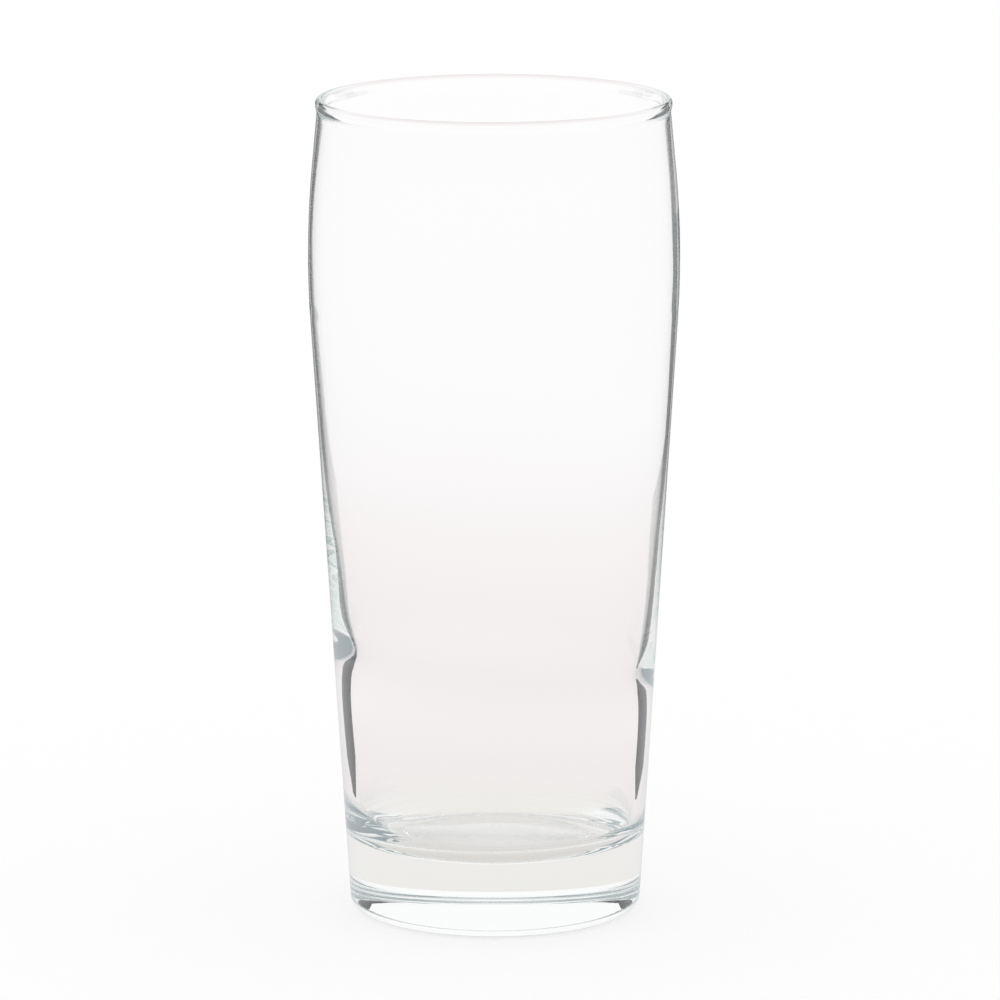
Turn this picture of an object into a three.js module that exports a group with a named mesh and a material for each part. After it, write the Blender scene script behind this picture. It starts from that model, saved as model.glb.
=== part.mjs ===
// A tall clear beer tumbler: a heavy foot, a conical wall, a shoulder that draws in to the mouth, a rounded lip.
// The glass is one moulded piece. Its four zones are separate solids, which meet face to face on level planes.
// Millimetres, +Z up. The origin is the centre of the circle that the glass stands on.
import * as THREE from "three";

// Outside
const HEIGHT = 175; // standing plane to the top of the lip
const FOOT_R = 30.9; // radius that the outer cone has at the standing plane, without its rounded heel
const CROWN_R = 40.0; // radius where the cone's line and the mouth's line would cross
const CROWN_DROP = 30.5; // depth of that crossing below the top of the lip
const MOUTH_R = 37.2; // outer radius of the wall under the lip
const SHOULDER_CURVE_R = 211; // radius of the curve that rounds the crossing off
const HEEL_R = 3.2; // rounding between the cone and the standing plane

// Inside
const FLOOR_Z = 15.3; // height of the inside floor
const FLOOR_CORNER_R = 8.5; // rounding between the floor and the wall
const FOOT_WALL = 2.8; // wall thickness at the floor's height, without that rounding
const KNEE_WALL = 3.2; // wall thickness at the knee, a low swelling where the lower wall ends
const KNEE_Z = 52; // height of the knee
const THIN_WALL = 1.1; // wall thickness of the upper glass
const THIN_Z = 88; // height where the wall has become that thin

// Lip and underside
const LIP_R = 1.0; // radius of the rounded lip
const HOLLOW_R = 23; // radius of the shallow hollow under the foot, inside the bearing ring
const HOLLOW_DEPTH = 0.5; // height of that hollow
const HOLLOW_STEP = 2.2; // width of the slope between the hollow and the bearing ring

// Fineness of the facets
const TURN_STEPS = 64;
const HEEL_STEPS = 5;
const CORNER_STEPS = 7;
const SHOULDER_STEPS = 6;
const LIP_STEPS = 14;

// Outer wall: the cone's line and the mouth's line, with a round shoulder between them
const lipCentreZ = HEIGHT - LIP_R;
const mouthZ = lipCentreZ - Math.sqrt(LIP_R ** 2 - (THIN_WALL / 2) ** 2);
const crownZ = HEIGHT - CROWN_DROP;
const coneLean = Math.atan2(CROWN_R - FOOT_R, crownZ);
const mouthLean = Math.atan2(CROWN_R - MOUTH_R, mouthZ - crownZ);
const shoulderReach = SHOULDER_CURVE_R * Math.tan((coneLean + mouthLean) / 2);
const shoulderStartZ = crownZ - shoulderReach * Math.cos(coneLean);
const shoulderEndZ = crownZ + shoulderReach * Math.cos(mouthLean);
const shoulderCentreZ = shoulderStartZ + SHOULDER_CURVE_R * Math.sin(coneLean);
const shoulderCentreR = coneRadius(shoulderStartZ) - SHOULDER_CURVE_R * Math.cos(coneLean);

function coneRadius(z) {
  return FOOT_R + z * Math.tan(coneLean);
}

function outerRadius(z) {
  if (z <= shoulderStartZ) return coneRadius(z);
  if (z >= shoulderEndZ) return MOUTH_R + (mouthZ - z) * Math.tan(mouthLean);
  return shoulderCentreR + Math.sqrt(SHOULDER_CURVE_R ** 2 - (z - shoulderCentreZ) ** 2);
}

// Inner wall: parallel to the outside above THIN_Z, thicker down to the knee, then slowly back to the foot
function wallThickness(z) {
  if (z >= THIN_Z) return THIN_WALL;
  if (z >= KNEE_Z) return THIN_WALL + (KNEE_WALL - THIN_WALL) * ((THIN_Z - z) / (THIN_Z - KNEE_Z));
  return KNEE_WALL + (FOOT_WALL - KNEE_WALL) * ((KNEE_Z - z) / (KNEE_Z - FLOOR_Z));
}

function innerRadius(z) {
  return outerRadius(z) - wallThickness(z);
}

// Floor corner: an arc that runs smoothly into the lower wall, and ends where the base gives way to the wall
const footLean = Math.atan2(innerRadius(KNEE_Z) - innerRadius(FLOOR_Z), KNEE_Z - FLOOR_Z);
const cornerCentreZ = FLOOR_Z + FLOOR_CORNER_R;
const cornerCentreR = innerRadius(cornerCentreZ) - FLOOR_CORNER_R / Math.cos(footLean);
const baseTopZ = cornerCentreZ - FLOOR_CORNER_R * Math.sin(footLean);

// Helpers for sections, which are drawn as radius and height
function spread(from, to, steps) {
  return Array.from({ length: steps + 1 }, (_, i) => THREE.MathUtils.lerp(from, to, i / steps));
}

function between(low, high, heights) {
  return [low, ...heights.filter((z) => z > low && z < high), high];
}

function arc(centreR, centreZ, radius, fromAngle, toAngle, steps) {
  return spread(fromAngle, toAngle, steps).map(
    (angle) => new THREE.Vector2(centreR + radius * Math.cos(angle), centreZ + radius * Math.sin(angle)),
  );
}

function wallLine(radiusAt, heights) {
  return heights.map((z) => new THREE.Vector2(radiusAt(z), z));
}

function turned(name, section, finish) {
  const geometry = new THREE.LatheGeometry(section, TURN_STEPS).rotateX(Math.PI / 2);
  const mesh = new THREE.Mesh(geometry, new THREE.MeshStandardMaterial(finish));
  mesh.name = name;
  return mesh;
}

// A stretch of wall between two level planes: up the outside, down the inside and back to its start
const shoulderHeights = spread(shoulderStartZ, shoulderEndZ, SHOULDER_STEPS);
const innerHeights = [KNEE_Z, THIN_Z, ...shoulderHeights].sort((a, b) => a - b);

function wallZone(name, low, high, finish) {
  const outside = wallLine(outerRadius, between(low, high, shoulderHeights));
  const inside = wallLine(innerRadius, between(low, high, innerHeights)).toReversed();
  return turned(name, [...outside, ...inside, outside[0]], finish);
}

const clearGlass = { color: 0xeef2f0, roughness: 0.02, metalness: 0, transparent: true, opacity: 0.35 };
const thickGlass = { ...clearGlass, color: 0xdde8e4 };

// Solid foot: hollow, bearing ring, heel, cone, and the floor with its rounded corner
function base() {
  const heelCentreR = coneRadius(HEEL_R) - HEEL_R / Math.cos(coneLean);
  const hollow = [
    new THREE.Vector2(0, HOLLOW_DEPTH),
    new THREE.Vector2(HOLLOW_R - HOLLOW_STEP, HOLLOW_DEPTH),
    new THREE.Vector2(HOLLOW_R, 0),
  ];
  const heel = arc(heelCentreR, HEEL_R, HEEL_R, -Math.PI / 2, -coneLean, HEEL_STEPS);
  const corner = arc(cornerCentreR, cornerCentreZ, FLOOR_CORNER_R, -footLean, -Math.PI / 2, CORNER_STEPS);
  const outerTop = new THREE.Vector2(outerRadius(baseTopZ), baseTopZ);
  const innerTop = new THREE.Vector2(innerRadius(baseTopZ), baseTopZ);
  const floorMiddle = new THREE.Vector2(0, FLOOR_Z);
  const section = [...hollow, ...heel, outerTop, innerTop, ...corner.slice(1), floorMiddle];
  return turned("base", section, thickGlass);
}

// Rounded lip, which stands on the top of the wall and overhangs it on both sides
function rimBead() {
  const centreR = MOUTH_R - THIN_WALL / 2;
  const seatAngle = Math.atan2(mouthZ - lipCentreZ, THIN_WALL / 2);
  const round = arc(centreR, lipCentreZ, LIP_R, seatAngle, Math.PI - seatAngle, LIP_STEPS).slice(1, -1);
  const outerSeat = new THREE.Vector2(outerRadius(mouthZ), mouthZ);
  const innerSeat = new THREE.Vector2(innerRadius(mouthZ), mouthZ);
  return turned("rim_bead", [outerSeat, ...round, innerSeat, outerSeat], clearGlass);
}

const tumbler = new THREE.Group();
tumbler.name = "beer_tumbler";
tumbler.add(
  base(),
  wallZone("body_wall", baseTopZ, shoulderStartZ, thickGlass),
  wallZone("shoulder_wall", shoulderStartZ, mouthZ, clearGlass),
  rimBead(),
);

export default tumbler;
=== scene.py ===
"""Looks of a tall clear beer tumbler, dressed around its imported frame.

The real glass is one moulded piece, so one seamless mesh stands for the four zones of the frame. Its
section is drawn from the frame's own boxes and a few wall sizes, and a Geometry Nodes tree turns it round
the axis. Lengths are in metres.
"""

import logging
import math
from bisect import bisect
from dataclasses import dataclass
from enum import Enum
from typing import Any, Iterable

import bpy
from mathutils import Matrix, Vector


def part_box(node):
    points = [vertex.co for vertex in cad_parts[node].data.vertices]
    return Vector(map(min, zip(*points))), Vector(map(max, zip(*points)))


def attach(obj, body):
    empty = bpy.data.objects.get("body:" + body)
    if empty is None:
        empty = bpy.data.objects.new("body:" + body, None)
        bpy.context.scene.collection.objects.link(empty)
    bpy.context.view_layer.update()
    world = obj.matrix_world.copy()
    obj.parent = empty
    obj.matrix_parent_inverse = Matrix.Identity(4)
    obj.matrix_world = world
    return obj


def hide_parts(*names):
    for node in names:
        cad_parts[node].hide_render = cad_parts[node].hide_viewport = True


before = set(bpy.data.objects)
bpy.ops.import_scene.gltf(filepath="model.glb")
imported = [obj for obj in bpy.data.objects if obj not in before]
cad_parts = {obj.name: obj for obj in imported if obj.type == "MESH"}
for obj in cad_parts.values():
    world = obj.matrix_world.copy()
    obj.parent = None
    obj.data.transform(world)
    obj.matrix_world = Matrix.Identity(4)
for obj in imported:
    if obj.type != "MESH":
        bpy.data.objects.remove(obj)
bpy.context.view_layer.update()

log = logging.getLogger("tumbler")
IMAGE_SIDE = 1000

Point = tuple[float, float]
Colour = tuple[float, float, float]
Paint = tuple[float, float, float, float]
WHITE: Paint = (1.0, 1.0, 1.0, 1.0)


class Operation(Enum):
    """Maths that a shader or geometry value can go through."""

    ADD = "ADD"
    SUBTRACT = "SUBTRACT"
    MULTIPLY = "MULTIPLY"
    DIVIDE = "DIVIDE"
    MODULO = "FLOORED_MODULO"
    FLOOR = "FLOOR"
    MINIMUM = "MINIMUM"
    ABOVE = "GREATER_THAN"
    EQUAL = "COMPARE"
    COSINE = "COSINE"
    SINE = "SINE"


class Value:
    """A socket of numbers that takes part in Python expressions."""

    def __init__(self, graph: "Graph", socket: bpy.types.NodeSocket) -> None:
        """Wraps one output socket of a graph."""
        self.graph = graph
        self.socket = socket

    def _with(self, operation: Operation, first: Any, second: Any = None) -> "Value":
        """Adds a Math node for one operation.

        Args:
            operation: What the node does.
            first: Its first number or value.
            second: Its second number or value, if it takes one.

        Returns:
            The node's result.
        """
        inputs = {0: first} if second is None else {0: first, 1: second}
        return self.graph.node("ShaderNodeMath", {"operation": operation.value}, inputs)

    def __add__(self, other: Any) -> "Value":
        """Sum."""
        return self._with(Operation.ADD, self, other)

    def __radd__(self, other: Any) -> "Value":
        """Sum, with the number first."""
        return self._with(Operation.ADD, other, self)

    def __sub__(self, other: Any) -> "Value":
        """Difference."""
        return self._with(Operation.SUBTRACT, self, other)

    def __rsub__(self, other: Any) -> "Value":
        """Difference, with the number first."""
        return self._with(Operation.SUBTRACT, other, self)

    def __mul__(self, other: Any) -> "Value":
        """Product."""
        return self._with(Operation.MULTIPLY, self, other)

    def __rmul__(self, other: Any) -> "Value":
        """Product, with the number first."""
        return self._with(Operation.MULTIPLY, other, self)

    def __truediv__(self, other: Any) -> "Value":
        """Quotient."""
        return self._with(Operation.DIVIDE, self, other)

    def __mod__(self, other: Any) -> "Value":
        """Remainder."""
        return self._with(Operation.MODULO, self, other)

    def smaller(self, other: Any) -> "Value":
        """The smaller of two values."""
        return self._with(Operation.MINIMUM, self, other)

    def above(self, other: Any) -> "Value":
        """One where the value is larger than another, and nought elsewhere."""
        return self._with(Operation.ABOVE, self, other)

    def within(self, low: float, high: float) -> "Value":
        """One where the value lies between two numbers, and nought elsewhere."""
        return self.above(low) * (1 - self.above(high))

    def counts(self, number: int) -> "Value":
        """One where a count is a given whole number, within the node's own tolerance of a half."""
        return self._with(Operation.EQUAL, self, number)

    def floor(self) -> "Value":
        """The whole number below."""
        return self._with(Operation.FLOOR, self)

    def cosine(self) -> "Value":
        """Cosine of an angle in radians."""
        return self._with(Operation.COSINE, self)

    def sine(self) -> "Value":
        """Sine of an angle in radians."""
        return self._with(Operation.SINE, self)


class Graph:
    """A node tree that is filled from Python expressions."""

    def __init__(self, tree: bpy.types.NodeTree) -> None:
        """Starts on an empty tree."""
        self.tree = tree
        tree.nodes.clear()

    def place(
        self,
        kind: str,
        settings: dict[str, Any] | None = None,
        inputs: dict[Any, Any] | None = None,
    ) -> Any:
        """Adds a node, sets it up and feeds its sockets.

        Args:
            kind: The node's type.
            settings: Properties of the node, set before its sockets.
            inputs: Values or links by socket name or number.

        Returns:
            The node itself.
        """
        made = self.tree.nodes.new(kind)
        for name, value in (settings or {}).items():
            setattr(made, name, value)
        for key, value in (inputs or {}).items():
            socket = made.inputs[key]
            if isinstance(value, Value):
                self.tree.links.new(value.socket, socket)
            else:
                socket.default_value = value
        return made

    def node(
        self,
        kind: str,
        settings: dict[str, Any] | None = None,
        inputs: dict[Any, Any] | None = None,
        output: Any = 0,
    ) -> Value:
        """Adds a node and gives one of its outputs.

        Args:
            kind: The node's type.
            settings: Properties of the node, set before its sockets.
            inputs: Values or links by socket name or number.
            output: Name or number of the output.

        Returns:
            That output, ready for expressions.
        """
        return Value(self, self.place(kind, settings, inputs).outputs[output])

    def split(self, vector: Value) -> list[Value]:
        """Gives the X, Y and Z of a vector."""
        parts = self.place("ShaderNodeSeparateXYZ", inputs={0: vector})
        return [Value(self, socket) for socket in parts.outputs]

    def ramp(self, factor: Value, stops: Iterable[tuple[float, Colour]]) -> Value:
        """Adds a colour ramp.

        Args:
            factor: Where along the ramp to read, from 0 to 1.
            stops: Places and colours, from low to high.

        Returns:
            The colour.
        """
        made = self.place("ShaderNodeValToRGB", inputs={0: factor})
        elements = made.color_ramp.elements
        for index, (position, colour) in enumerate(stops):
            element = elements[index] if index < len(elements) else elements.new(position)
            element.position = position
            element.color = opaque(colour)
        return Value(self, made.outputs[0])


def opaque(colour: Colour) -> Paint:
    """A colour with full alpha."""
    return (*colour, 1.0)


def smooth_least(first: float, second: float, reach: float) -> float:
    """The smaller of two numbers, rounded off where they are close.

    Args:
        first: One number.
        second: The other.
        reach: How close they are where the rounding starts.

    Returns:
        The blended number.
    """
    closeness = max(reach - abs(first - second), 0.0) / reach
    return min(first, second) - closeness * closeness * reach / 4


def soft_ramp(depth: float, rounding: float) -> float:
    """Nought above a level and the depth below it, with a rounded turn between.

    Args:
        depth: Depth below the level.
        rounding: Depth over which it turns.

    Returns:
        The blended depth.
    """
    return rounding * math.log1p(math.exp(depth / rounding))


def eased(share: float) -> float:
    """A share from 0 to 1 that starts and ends level."""
    return share * share * (3 - 2 * share)


def spread(start: float, end: float, steps: int) -> list[float]:
    """Evenly spaced numbers, both ends included.

    Args:
        start: First number.
        end: Last number.
        steps: Count of gaps between them.

    Returns:
        The numbers.
    """
    return [start + (end - start) * index / steps for index in range(steps + 1)]


def arc(centre: Point, radius: float, ends: Point, steps: int) -> list[Point]:
    """Points along an arc of the section.

    Args:
        centre: Its centre, as radius and height.
        radius: Its own radius.
        ends: Its first and last angle, in radians from level and outwards.
        steps: Count of gaps between the points.

    Returns:
        The points, both ends included.
    """
    centre_r, centre_z = centre
    return [(centre_r + radius * math.cos(a), centre_z + radius * math.sin(a)) for a in spread(*ends, steps)]


@dataclass(frozen=True)
class Steps:
    """How finely each stretch of the section is divided."""

    underside: int = 10
    hollow: int = 16
    heel: int = 14
    cone: int = 40
    shoulder: int = 36
    neck: int = 14
    lip: int = 30
    wall: int = 110
    corner: int = 26
    floor: int = 12


@dataclass(frozen=True)
class Section:
    """Half section of the glass, as radius and height.

    The cone, mouth and height come from the frame. The walls and roundings are the sizes below. The wave
    is a low swelling inside the wall, with a longer reach below its top than above.
    """

    cone_low: Point
    cone_high: Point
    lip_outside: float
    height: float
    shoulder_curve: float = 0.211
    lip_radius: float = 0.0010
    neck_length: float = 0.0022
    heel_radius: float = 0.0032
    hollow_radius: float = 0.0230
    hollow_depth: float = 0.0005
    hollow_step: float = 0.0022
    floor_height: float = 0.0153
    floor_corner: float = 0.0085
    foot_wall: float = 0.0030
    foot_rounding: float = 0.0003
    wave_swell: float = 0.0005
    wave_height: float = 0.0520
    wave_below: float = 0.008
    wave_above: float = 0.0045
    taper_height: float = 0.088
    taper_slope: float = 0.053
    taper_rounding: float = 0.006
    thin_wall: float = 0.0011
    steps: Steps = Steps()

    @classmethod
    def from_frame(cls) -> "Section":
        """Takes the cone, the mouth and the height from the boxes of the frame's zones."""
        base, body, rim = (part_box(name)[1] for name in ("base", "body_wall", "rim_bead"))
        return cls((base.x, base.z), (body.x, body.z), rim.x, rim.z)

    @property
    def cone_slope(self) -> float:
        """Growth of the outer radius with height."""
        return (self.cone_high[0] - self.cone_low[0]) / (self.cone_high[1] - self.cone_low[1])

    @property
    def lean(self) -> float:
        """Angle between the cone's side and the axis."""
        return math.atan(self.cone_slope)

    @property
    def shoulder_centre(self) -> Point:
        """Centre of the shoulder's arc, which goes on from the cone without a kink."""
        r, z = self.cone_high
        return r - self.shoulder_curve * math.cos(self.lean), z + self.shoulder_curve * math.sin(self.lean)

    @property
    def heel_centre(self) -> float:
        """Radius of the heel's centre, which is also the outer edge of the bearing ring."""
        return self.cone(self.heel_radius) - self.heel_radius * math.hypot(1, self.cone_slope)

    @property
    def lip_centre(self) -> Point:
        """Centre of the rounded lip."""
        return self.lip_outside - self.lip_radius, self.height - self.lip_radius

    def cone(self, z: float) -> float:
        """Radius of the outer cone at a height."""
        return self.cone_low[0] + (z - self.cone_low[1]) * self.cone_slope

    def outer(self, z: float) -> float:
        """Outer radius of the wall, without the lip.

        Args:
            z: Height.

        Returns:
            The cone, the round shoulder or the straight mouth above it.
        """
        centre_r, centre_z = self.shoulder_centre
        mouth_r, mouth_z = self.lip_centre[0] + self.thin_wall / 2, self.lip_centre[1]
        away = math.hypot(mouth_r - centre_r, mouth_z - centre_z)
        turn = math.atan2(mouth_z - centre_z, mouth_r - centre_r) - math.acos(self.shoulder_curve / away)
        if z <= self.cone_high[1]:
            return self.cone(z)
        if z >= centre_z + self.shoulder_curve * math.sin(turn):
            return mouth_r + (mouth_z - z) * math.tan(turn)
        return centre_r + math.sqrt(self.shoulder_curve**2 - (z - centre_z) ** 2)

    def wall(self, z: float) -> float:
        """Thickness of the wall: thin above, slowly thicker below, with the low wave.

        Args:
            z: Height.

        Returns:
            The thickness.
        """
        taper = self.taper_slope * soft_ramp(self.taper_height - z, self.taper_rounding)
        rise = z - self.wave_height
        reach = self.wave_above if rise > 0 else self.wave_below
        wave = self.wave_swell * math.exp(-((rise / reach) ** 2) / 2)
        return smooth_least(self.thin_wall + taper, self.foot_wall, self.foot_rounding) + wave

    def inner(self, z: float) -> float:
        """Inner radius of the wall at a height."""
        return self.outer(z) - self.wall(z)

    def underside(self) -> list[Point]:
        """Draws the shallow hollow, its rounded step and the bearing ring.

        Returns:
            The points, from the axis to the heel.
        """
        brink = self.hollow_radius - self.hollow_step
        flat = [(r, self.hollow_depth) for r in spread(0.0, brink, self.steps.underside)[:-1]]
        step = [
            (r, self.hollow_depth * (1 - eased((r - brink) / self.hollow_step)))
            for r in spread(brink, self.hollow_radius, self.steps.hollow)
        ]
        return [*flat, *step, (self.heel_centre, 0.0)]

    def heel(self) -> list[Point]:
        """Rounded heel, from the bearing ring to the cone."""
        centre = (self.heel_centre, self.heel_radius)
        return arc(centre, self.heel_radius, (-math.pi / 2, -self.lean), self.steps.heel)

    def lip(self) -> list[Point]:
        """Draws the lip and the necks below it, where the wall swells to the lip's width.

        Returns:
            The points, up the neck outside, over the lip and down the neck inside.
        """
        low = self.lip_centre[1] - self.neck_length
        half_wall = self.thin_wall / 2
        neck = []
        for z in spread(low, self.lip_centre[1], self.steps.neck)[:-1]:
            half = half_wall + (self.lip_radius - half_wall) * eased((z - low) / self.neck_length)
            neck.append((self.outer(z) - half_wall, half, z))
        cap = arc(self.lip_centre, self.lip_radius, (0.0, math.pi), self.steps.lip)
        outside = [(middle + half, z) for middle, half, z in neck]
        inside = [(middle - half, z) for middle, half, z in reversed(neck)]
        return [*outside, *cap, *inside]

    def floor(self) -> list[Point]:
        """Draws the rounded corner of the inside and the floor.

        Returns:
            The points, down from the wall and in to the axis.
        """
        centre_z = self.floor_height + self.floor_corner
        centre_r = self.inner(centre_z) - self.floor_corner / math.cos(self.lean)
        ends = (-self.lean, -math.pi / 2)
        corner = arc((centre_r, centre_z), self.floor_corner, ends, self.steps.corner)
        flat = [(r, self.floor_height) for r in spread(centre_r, 0.0, self.steps.floor)[1:]]
        return [*corner, *flat]

    def points(self) -> list[Point]:
        """Draws the whole section.

        Returns:
            The points, from the axis underneath, up the outside, over the lip and down to the floor's middle.
        """
        neck_z = self.lip_centre[1] - self.neck_length
        cone = [(self.cone(z), z) for z in spread(self.heel_radius, self.cone_high[1], self.steps.cone)]
        shoulder = [(self.outer(z), z) for z in spread(self.cone_high[1], neck_z, self.steps.shoulder)]
        floor = self.floor()
        inside = [(self.inner(z), z) for z in spread(neck_z, floor[0][1], self.steps.wall)]
        outside = [*self.underside(), *self.heel()[1:], *cone[1:], *shoulder[1:-1]]
        return [*outside, *self.lip(), *inside[1:-1], *floor]


@dataclass(frozen=True)
class Unevenness:
    """How the blown inside departs from a true round.

    Towards the lean angle the inside is shifted up and outwards, by amounts that depend on the height, and
    on the far side down and inwards. A small ripple goes all round.
    """

    lifts: tuple[Point, ...] = ((0.016, 0.0), (0.026, 0.003), (0.095, 0.003), (0.130, 0.0))
    leans: tuple[Point, ...] = (
        (0.016, 0.0),
        (0.026, 0.00012),
        (0.066, 0.00012),
        (0.086, 0.0003),
        (0.140, 0.0003),
        (0.172, 0.0),
    )
    lean_angle: float = math.pi
    ripple: float = 0.00004
    ripple_count: int = 3
    ripple_angle: float = 0.7

    @staticmethod
    def at(height: float, table: tuple[Point, ...]) -> float:
        """Amount at a height, smoothed between those of a table.

        Args:
            height: Where to read.
            table: Heights and amounts, from low to high.

        Returns:
            The amount.
        """
        place = min(max(bisect([z for z, _ in table], height), 1), len(table) - 1)
        (low, first), (high, last) = table[place - 1], table[place]
        rise = min(max((height - low) / (high - low), 0.0), 1.0)
        return first + (last - first) * eased(rise)


class TurnTree:
    """Geometry Nodes tree that turns a section round the Z axis into one closed, smooth mesh."""

    SIZES = (
        ("Segments", "NodeSocketInt"),
        ("Lean Angle", "NodeSocketFloat"),
        ("Ripple", "NodeSocketFloat"),
        ("Ripple Count", "NodeSocketInt"),
        ("Ripple Angle", "NodeSocketFloat"),
        ("Material", "NodeSocketMaterial"),
    )
    JOIN = 1e-6

    def __init__(self) -> None:
        """Builds the tree and its named inputs."""
        self.tree = bpy.data.node_groups.new("turned_glass", "GeometryNodeTree")
        sockets = self.tree.interface
        sockets.new_socket("Geometry", in_out="OUTPUT", socket_type="NodeSocketGeometry")
        sockets.new_socket("Geometry", in_out="INPUT", socket_type="NodeSocketGeometry")
        self.keys = {
            name: sockets.new_socket(name, in_out="INPUT", socket_type=kind).identifier
            for name, kind in self.SIZES
        }
        self._fill()

    def _fill(self) -> None:
        """Adds the nodes: a grid whose columns are turned copies of the section."""
        graph = Graph(self.tree)
        given = graph.place("NodeGroupInput")
        section = Value(graph, given.outputs["Geometry"])
        size = {name: Value(graph, given.outputs[name]) for name in self.keys}
        domain = {"component": "MESH"}
        count = graph.node("GeometryNodeAttributeDomainSize", domain, {0: section}, "Point Count")
        columns = size["Segments"] + 1
        grid = graph.node("GeometryNodeMeshGrid", inputs={"Vertices X": columns, "Vertices Y": count})
        index = graph.node("GeometryNodeInputIndex")
        row = index % count
        angle = (index / count).floor() / size["Segments"] * (2 * math.pi)

        def sampled(kind: str, field: Value) -> Value:
            """Reads one value of the section at this row."""
            inputs = {"Geometry": section, "Value": field, "Index": row}
            return graph.node("GeometryNodeSampleIndex", {"data_type": kind}, inputs)

        def named(name: str) -> Value:
            """Reads one attribute of the section at this row."""
            field = graph.node("GeometryNodeInputNamedAttribute", {"data_type": "FLOAT"}, {"Name": name})
            return sampled("FLOAT", field)

        radius, _, height = graph.split(sampled("FLOAT_VECTOR", graph.node("GeometryNodeInputPosition")))
        side = (angle - size["Lean Angle"]).cosine()
        wave = (angle * size["Ripple Count"] - size["Ripple Angle"]).cosine()
        radius = radius + named("lean") * side + named("ripple") * wave * size["Ripple"]
        height = height + named("lift") * side
        spot = {0: radius * angle.cosine(), 1: radius * angle.sine(), 2: height}
        turned = graph.node("ShaderNodeCombineXYZ", inputs=spot)
        mesh = graph.node("GeometryNodeSetPosition", inputs={"Geometry": grid, "Position": turned})
        mesh = graph.node("GeometryNodeMergeByDistance", inputs={"Geometry": mesh, "Distance": self.JOIN})
        mesh = graph.node("GeometryNodeSetShadeSmooth", inputs={"Geometry": mesh})
        mesh = graph.node("GeometryNodeRealizeInstances", inputs={0: mesh})
        dressed = {"Geometry": mesh, "Material": size["Material"]}
        mesh = graph.node("GeometryNodeSetMaterial", inputs=dressed)
        graph.place("NodeGroupOutput", inputs={0: mesh})

    def turn(self, section: bpy.types.Object, sizes: dict[str, Any]) -> bpy.types.Mesh:
        """Runs the tree on a section.

        Args:
            section: Object whose vertices are the section's points, in order.
            sizes: The tree's inputs by name.

        Returns:
            The turned mesh, free of the section and the modifier.
        """
        modifier = section.modifiers.new("turn", "NODES")
        modifier.node_group = self.tree
        for name, value in sizes.items():
            modifier[self.keys[name]] = value
        depsgraph = bpy.context.evaluated_depsgraph_get()
        mesh = bpy.data.meshes.new_from_object(section.evaluated_get(depsgraph))
        section.modifiers.remove(modifier)
        return mesh


@dataclass(frozen=True)
class ClearGlass:
    """Polished clear soda-lime glass, faintly green where thick, with a fine grain on the inside floor."""

    name: str = "clear_glass"
    colour: Paint = WHITE
    ior: float = 1.52
    tint: Paint = (0.55, 0.86, 0.74, 1.0)
    tint_density: float = 0.6
    grain_heights: tuple[float, float] = (0.0150, 0.0156)
    grain_radius: float = 0.0205
    grain_roughness: float = 0.1
    grain_scale: float = 1500.0
    grain_detail: float = 2.0
    grain_depth: float = 0.0004

    def make(self) -> bpy.types.Material:
        """Builds the material.

        Returns:
            The material, with refraction on its surface and a faint absorption inside.
        """
        material = bpy.data.materials.new(self.name)
        material.use_nodes = True
        graph = Graph(material.node_tree)
        spot = graph.node("ShaderNodeTexCoord", output="Object")
        x, y, z = graph.split(spot)
        inner_floor = z.within(*self.grain_heights) * (1 - (x * x + y * y).above(self.grain_radius**2))
        noise = {"Vector": spot, "Scale": self.grain_scale, "Detail": self.grain_detail}
        grains = graph.node("ShaderNodeTexNoise", inputs=noise)
        bumps = {"Distance": self.grain_depth, "Height": inner_floor * grains}
        surface = graph.node(
            "ShaderNodeBsdfPrincipled",
            inputs={
                "Base Color": self.colour,
                "Roughness": inner_floor * self.grain_roughness,
                "IOR": self.ior,
                "Transmission Weight": 1.0,
                "Normal": graph.node("ShaderNodeBump", inputs=bumps),
            },
        )
        depths = {"Color": self.tint, "Density": self.tint_density}
        inside = graph.node("ShaderNodeVolumeAbsorption", inputs=depths)
        graph.place("ShaderNodeOutputMaterial", inputs={"Surface": surface, "Volume": inside})
        return material


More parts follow.
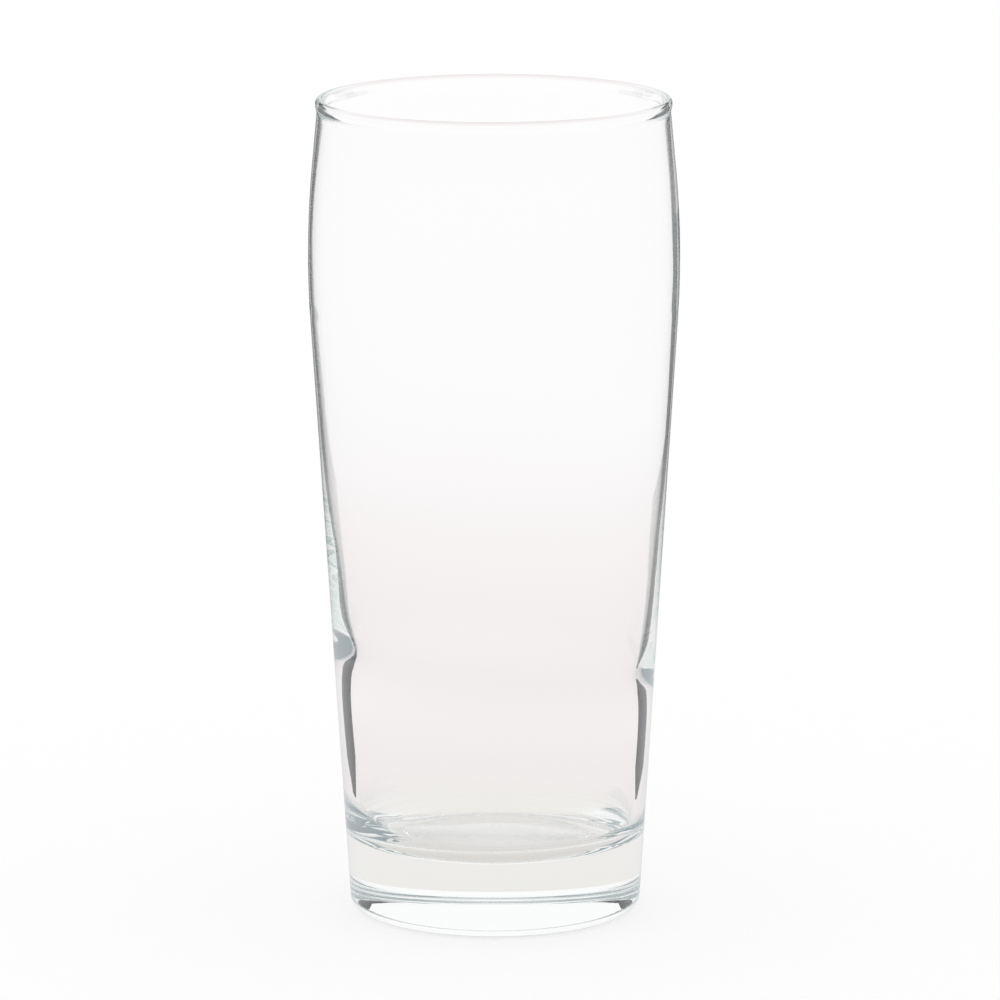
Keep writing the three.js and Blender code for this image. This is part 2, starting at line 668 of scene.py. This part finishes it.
@dataclass
class Tumbler:
    """The whole glass as one piece."""

    section: Section
    unevenness: Unevenness
    finish: ClearGlass
    segments: int = 224

    def _section_object(self) -> bpy.types.Object:
        """Makes the section's points loose vertices, each with its share of the unevenness.

        Returns:
            The object that the tree turns.
        """
        points = self.section.points()
        mesh = bpy.data.meshes.new("section")
        mesh.from_pydata([(r, 0.0, z) for r, z in points], [], [])
        for name, amounts in self._shares(points).items():
            mesh.attributes.new(name, "FLOAT", "POINT").data.foreach_set("value", amounts)
        made = bpy.data.objects.new("section", mesh)
        bpy.context.scene.collection.objects.link(made)
        return made

    def _shares(self, points: list[Point]) -> dict[str, list[float]]:
        """Unevenness at each point, none of it outside.

        Args:
            points: The section.

        Returns:
            The lift, the lean and the share of the ripple, one number of each for every point.
        """
        section, uneven = self.section, self.unevenness
        inside = [float(r < section.outer(z) - section.thin_wall / 2) for r, z in points]
        lifts = [uneven.at(z, uneven.lifts) * share for (_, z), share in zip(points, inside)]
        leans = [uneven.at(z, uneven.leans) * share for (_, z), share in zip(points, inside)]
        return {"lift": lifts, "lean": leans, "ripple": [float(lift != 0.0) for lift in lifts]}

    def build(self) -> bpy.types.Object:
        """Turns the section into the glass and puts it in the frame.

        Returns:
            The finished piece.
        """
        outline = self._section_object()
        uneven = self.unevenness
        sizes = {
            "Segments": self.segments,
            "Lean Angle": uneven.lean_angle,
            "Ripple": uneven.ripple,
            "Ripple Count": uneven.ripple_count,
            "Ripple Angle": uneven.ripple_angle,
            "Material": self.finish.make(),
        }
        mesh = TurnTree().turn(outline, sizes)
        mesh.name = "tumbler_glass"
        bpy.data.objects.remove(outline)
        glass = bpy.data.objects.new("tumbler_glass", mesh)
        bpy.context.scene.collection.objects.link(glass)
        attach(glass, "root")
        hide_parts("base", "body_wall", "shoulder_wall", "rim_bead")
        return glass


@dataclass(frozen=True)
class PhotoCamera:
    """Camera at the photograph's viewing angle."""

    distance: float = 1.5354
    height: float = 0.3899
    aim: tuple[float, float, float] = (0.00117, 0.0, 0.08865)
    focal_pixels: float = 7353.0
    roll: float = 0.0017
    nearest: float = 0.05
    farthest: float = 50.0

    def make(self) -> None:
        """Creates the camera and makes it the scene's."""
        data = bpy.data.cameras.new("photo_camera")
        data.lens = self.focal_pixels * data.sensor_width / IMAGE_SIDE
        data.clip_start = self.nearest
        data.clip_end = self.farthest
        camera = bpy.data.objects.new("photo_camera", data)
        eye = Vector((0.0, -self.distance, self.height))
        look = (Vector(self.aim) - eye).to_track_quat("-Z", "Y").to_matrix().to_4x4()
        camera.matrix_world = Matrix.Translation(eye) @ look @ Matrix.Rotation(-self.roll, 4, "Z")
        bpy.context.scene.collection.objects.link(camera)
        bpy.context.scene.camera = camera


class RayPath:
    """What a ray of light has been through before it meets the studio."""

    def __init__(self, graph: Graph) -> None:
        """Adds the Light Path node whose outputs tell it.

        Args:
            graph: Node tree of a part of the studio.
        """
        node = graph.place("ShaderNodeLightPath")
        self.through = Value(graph, node.outputs["Is Transmission Ray"])
        self.off = Value(graph, node.outputs["Is Glossy Ray"])
        self.mirrorings = Value(graph, node.outputs["Glossy Depth"])
        self.passes = Value(graph, node.outputs["Transmission Depth"])
        self.length = Value(graph, node.outputs["Ray Length"])


@dataclass(frozen=True)
class FlagPair:
    """Two equal dark flags behind the glass, one at each side, that paint dark edges into it.

    Attributes:
        first: Radius and height of the low or inner end.
        last: Radius and height of the high or outer end.
        first_span: Angles of the right flag's sides at the first end, in degrees from the X axis.
        last_span: The same at the last end.
        way: Least last stretch of the light that sees the flag's painted dark, at the floor.
        way_slope: Growth of that stretch with height.
        off_outside: Whether the flag paints its dark for light off the outside, not for light from inside the
            wall.
        steps: Facets of each flag.
    """

    first: Point
    last: Point
    first_span: Point
    last_span: Point
    way: float = 0.0
    way_slope: float = 0.0
    off_outside: bool = False
    steps: int = 8

    def mesh(self) -> bpy.types.Mesh:
        """Makes both flags as curved strips.

        Returns:
            The mesh.
        """
        points: list[tuple[float, float, float]] = []
        faces: list[tuple[int, ...]] = []
        row = self.steps + 1
        for side in (1, -1):
            start = len(points)
            for (r, z), span in ((self.first, self.first_span), (self.last, self.last_span)):
                turns = [math.radians(angle) for angle in spread(*span, self.steps)]
                points += [(side * r * math.cos(a), r * math.sin(a), z) for a in turns]
            faces += [(i, i + 1, i + row + 1, i + row) for i in range(start, start + self.steps)]
        mesh = bpy.data.meshes.new("studio_flags")
        mesh.from_pydata(points, [], faces)
        return mesh


@dataclass(frozen=True)
class Flags:
    """Sizes of the flags that paint the glass's dark edges.

    At each side stands a tall flag in three lengths, narrower towards the floor. A small one lies in front
    of it, and a wide one behind it is for the outside of the glass. Spans are angles in degrees. A way is a
    length at the floor and its growth with height.
    """

    radius: float = 0.15
    heights: tuple[float, float, float, float] = (0.0, 0.031, 0.075, 0.25)
    upper_span: Point = (31.5, 58.5)
    middle_span: Point = (35.5, 54.5)
    foot_span: Point = (36.5, 53.5)
    upper_way: Point = (0.1425, -0.047)
    middle_way: Point = (0.133, 0.0795)
    foot_way: Point = (0.133, 0.0)
    lying_radius: float = 0.106
    lying_height: float = 0.0005
    lying_span: Point = (36.0, 38.5)
    outside_radius: float = 0.152
    outside_span: Point = (31.5, 68.0)

    def pairs(self) -> tuple[FlagPair, ...]:
        """Places the flags.

        Returns:
            The tall flags from their top length down, the lying ones and the ones for the outside.
        """
        ground, low, high, top = ((self.radius, height) for height in self.heights)
        lying = [(r, self.lying_height) for r in (self.lying_radius, self.radius)]
        behind = [(self.outside_radius, height) for height in (self.heights[0], self.heights[-1])]
        return (
            FlagPair(high, top, self.upper_span, self.upper_span, *self.upper_way),
            FlagPair(low, high, self.middle_span, self.upper_span, *self.middle_way),
            FlagPair(ground, low, self.foot_span, self.foot_span, *self.foot_way),
            FlagPair(*lying, self.lying_span, self.foot_span),
            FlagPair(*behind, self.outside_span, self.outside_span, off_outside=True),
        )


@dataclass(frozen=True)
class PaintedEdgeCloth:
    """Dark sheet that shows only in the glass, as painted dark edges, and is clear to all other light.

    Inside the wall it shows to light that came in, was mirrored once and went out. For the outside it shows
    to light that was mirrored there once, fading towards the flag's outer side and towards the floor.
    """

    tone: Colour = (0.025, 0.03, 0.035)
    fade_end: float = 0.727
    fade_width: float = 0.455
    fade_foot: float = 0.015
    fade_rise: float = 0.06

    def make(self, pair: FlagPair) -> bpy.types.Material:
        """Builds the material for a pair of flags.

        Args:
            pair: The flags.

        Returns:
            The material.
        """
        material = bpy.data.materials.new("painted_edge_cloth")
        material.use_nodes = True
        graph = Graph(material.node_tree)
        path = RayPath(graph)
        x, _, height = graph.split(graph.node("ShaderNodeTexCoord", output="Object"))
        mirrored_once = path.mirrorings.counts(1)
        if pair.off_outside:
            across = x / pair.first[0]
            fading = (self.fade_end - across * across) / self.fade_width
            rising = ((height - self.fade_foot) / self.fade_rise).smaller(1.0)
            share = path.passes.counts(0) * mirrored_once * fading * rising
        else:
            long_way = path.length.above(height * pair.way_slope + pair.way)
            share = path.through * path.passes.counts(2) * mirrored_once * long_way
        # painted dark edge, shown only to the chosen light paths in the glass
        dark = graph.node("ShaderNodeEmission", inputs={"Color": opaque(self.tone), "Strength": 1.0})
        clear = graph.node("ShaderNodeBsdfTransparent")
        shown = graph.node("ShaderNodeMixShader", inputs={0: share, 1: clear, 2: dark})
        graph.place("ShaderNodeOutputMaterial", inputs={0: shown})
        return material


class Lamp(Enum):
    """Nodes that give plain light."""

    SURFACE = "ShaderNodeEmission"
    SURROUND = "ShaderNodeBackground"


@dataclass(frozen=True)
class Studio:
    """Plain pale floor, soft white light all round, and dark flags that paint dark edges in the glass only.

    Light mirrored many times in the wall shows a painted shade between two counts of mirrorings, and the
    trapped tone above them. The floor's painted shadow, darker nearer the axis, shows only through the glass.
    """

    flags: Flags = Flags()
    edge_paint: PaintedEdgeCloth = PaintedEdgeCloth()
    floor_side: float = 8.0
    floor_drop: float = 0.00003
    shadow_share: float = 0.25
    painted_shadow_reach: float = 1.0
    # painted shadow of the glass on the floor, darker near the axis, seen only through the glass
    painted_floor_shadow: tuple[tuple[float, Colour], ...] = (
        (0.0, (0.68, 0.66, 0.64)),
        (0.026, (0.70, 0.68, 0.66)),
        (0.034, (0.85, 0.84, 0.81)),
        (0.13, (0.89, 0.845, 0.845)),
        (0.27, (0.93, 0.885, 0.885)),
        (0.42, (0.96, 0.94, 0.945)),
        (0.62, (0.99, 0.985, 0.985)),
        (0.95, (0.995, 0.99, 0.99)),
    )
    # painted grey that the studio shows only in reflections off the glass
    painted_reflection_grey: Colour = (0.74, 0.74, 0.75)
    # painted shade for light mirrored many times in the wall
    painted_wall_shade: Colour = (0.33, 0.38, 0.40)
    wall_shade_mirrorings: tuple[float, float] = (4.5, 32.5)
    trapped_tone: Colour = (1.0, 0.95, 0.97)
    bounces: int = 600

    def _shown(self, graph: Graph, lamp: Lamp, bare: Value, through: Any) -> Value:
        """Shades the studio by how a ray reached it: straight, off the glass, through it or along its wall.

        Args:
            graph: The floor's or the surround's node tree.
            lamp: The node that gives plain light there.
            bare: What the camera sees.
            through: Colour that shows through the glass.

        Returns:
            The shader.
        """
        path = RayPath(graph)
        layers = (
            # painted grey reflections off the glass
            (path.off, opaque(self.painted_reflection_grey)),
            (path.through, through),
            # painted shade along the wall, then the trapped tone for light mirrored longer
            (path.through * path.mirrorings.within(*self.wall_shade_mirrorings), opaque(self.painted_wall_shade)),
            (path.through * path.mirrorings.above(self.wall_shade_mirrorings[1]), opaque(self.trapped_tone)),
        )
        shown = bare
        for share, colour in layers:
            light = graph.node(lamp.value, inputs={"Color": colour, "Strength": 1.0})
            shown = graph.node("ShaderNodeMixShader", inputs={0: share, 1: shown, 2: light})
        return shown

    def _floor_material(self) -> bpy.types.Material:
        """Builds the floor's paper: white, with the glass's soft shadow.

        Returns:
            The material, with a painted shadow, warmer and darker near the glass, where it is seen through
            it.
        """
        material = bpy.data.materials.new("floor_paper_and_painted_shadow")
        material.use_nodes = True
        graph = Graph(material.node_tree)
        spot = graph.node("ShaderNodeTexCoord", output="Object")
        away = graph.node("ShaderNodeVectorMath", {"operation": "LENGTH"}, {0: spot}, "Value")
        # painted shadow, toned by distance from the axis
        painted_shadow = graph.ramp(away / self.painted_shadow_reach, self.painted_floor_shadow)
        paper = graph.node("ShaderNodeBsdfDiffuse", inputs={"Color": WHITE})
        glow = graph.node(Lamp.SURFACE.value, inputs={"Color": WHITE, "Strength": 1.0})
        bare = graph.node("ShaderNodeMixShader", inputs={0: self.shadow_share, 1: glow, 2: paper})
        shown = self._shown(graph, Lamp.SURFACE, bare, painted_shadow)
        graph.place("ShaderNodeOutputMaterial", inputs={0: shown})
        return material

    @staticmethod
    def _stage(mesh: bpy.types.Mesh) -> bpy.types.Object:
        """Links a mesh as part of the studio.

        Args:
            mesh: The mesh.

        Returns:
            Its object.
        """
        made = bpy.data.objects.new(mesh.name, mesh)
        bpy.context.scene.collection.objects.link(made)
        return made

    def lay_floor(self) -> None:
        """Adds the floor, a hair below the bearing ring."""
        half = self.floor_side / 2
        mesh = bpy.data.meshes.new("studio_floor")
        corners = [(-half, -half), (half, -half), (half, half), (-half, half)]
        mesh.from_pydata([(x, y, -self.floor_drop) for x, y in corners], [], [(0, 1, 2, 3)])
        mesh.materials.append(self._floor_material())
        self._stage(mesh)

    def hang_flags(self) -> None:
        """Adds the flags, hidden from the camera and casting no shadow."""
        for pair in self.flags.pairs():
            mesh = pair.mesh()
            mesh.materials.append(self.edge_paint.make(pair))
            made = self._stage(mesh)
            made.visible_camera = made.visible_diffuse = made.visible_shadow = False

    def light(self) -> None:
        """Adds a white surround, painted grey and shaded in the glass, and bounces enough for light trapped
        in the wall to leave it.
        """
        scene = bpy.context.scene
        scene.cycles.max_bounces = self.bounces
        scene.cycles.transmission_bounces = self.bounces
        scene.cycles.glossy_bounces = self.bounces
        world = bpy.data.worlds.new("soft_surround")
        scene.world = world
        world.use_nodes = True
        graph = Graph(world.node_tree)
        bare = graph.node(Lamp.SURROUND.value, inputs={"Color": WHITE, "Strength": 1.0})
        shown = self._shown(graph, Lamp.SURROUND, bare, WHITE)
        graph.place("ShaderNodeOutputWorld", inputs={0: shown})


def main() -> None:
    """Builds the camera, the studio and the glass."""
    logging.basicConfig(level=logging.INFO, format="%(name)s: %(message)s")
    bpy.context.scene.view_settings.view_transform = "Standard"
    PhotoCamera().make()
    studio = Studio()
    studio.lay_floor()
    studio.hang_flags()
    studio.light()
    glass = Tumbler(Section.from_frame(), Unevenness(), ClearGlass()).build()
    log.info("%s: %d faces", glass.name, len(glass.data.polygons))


if __name__ == "__main__":
    main()
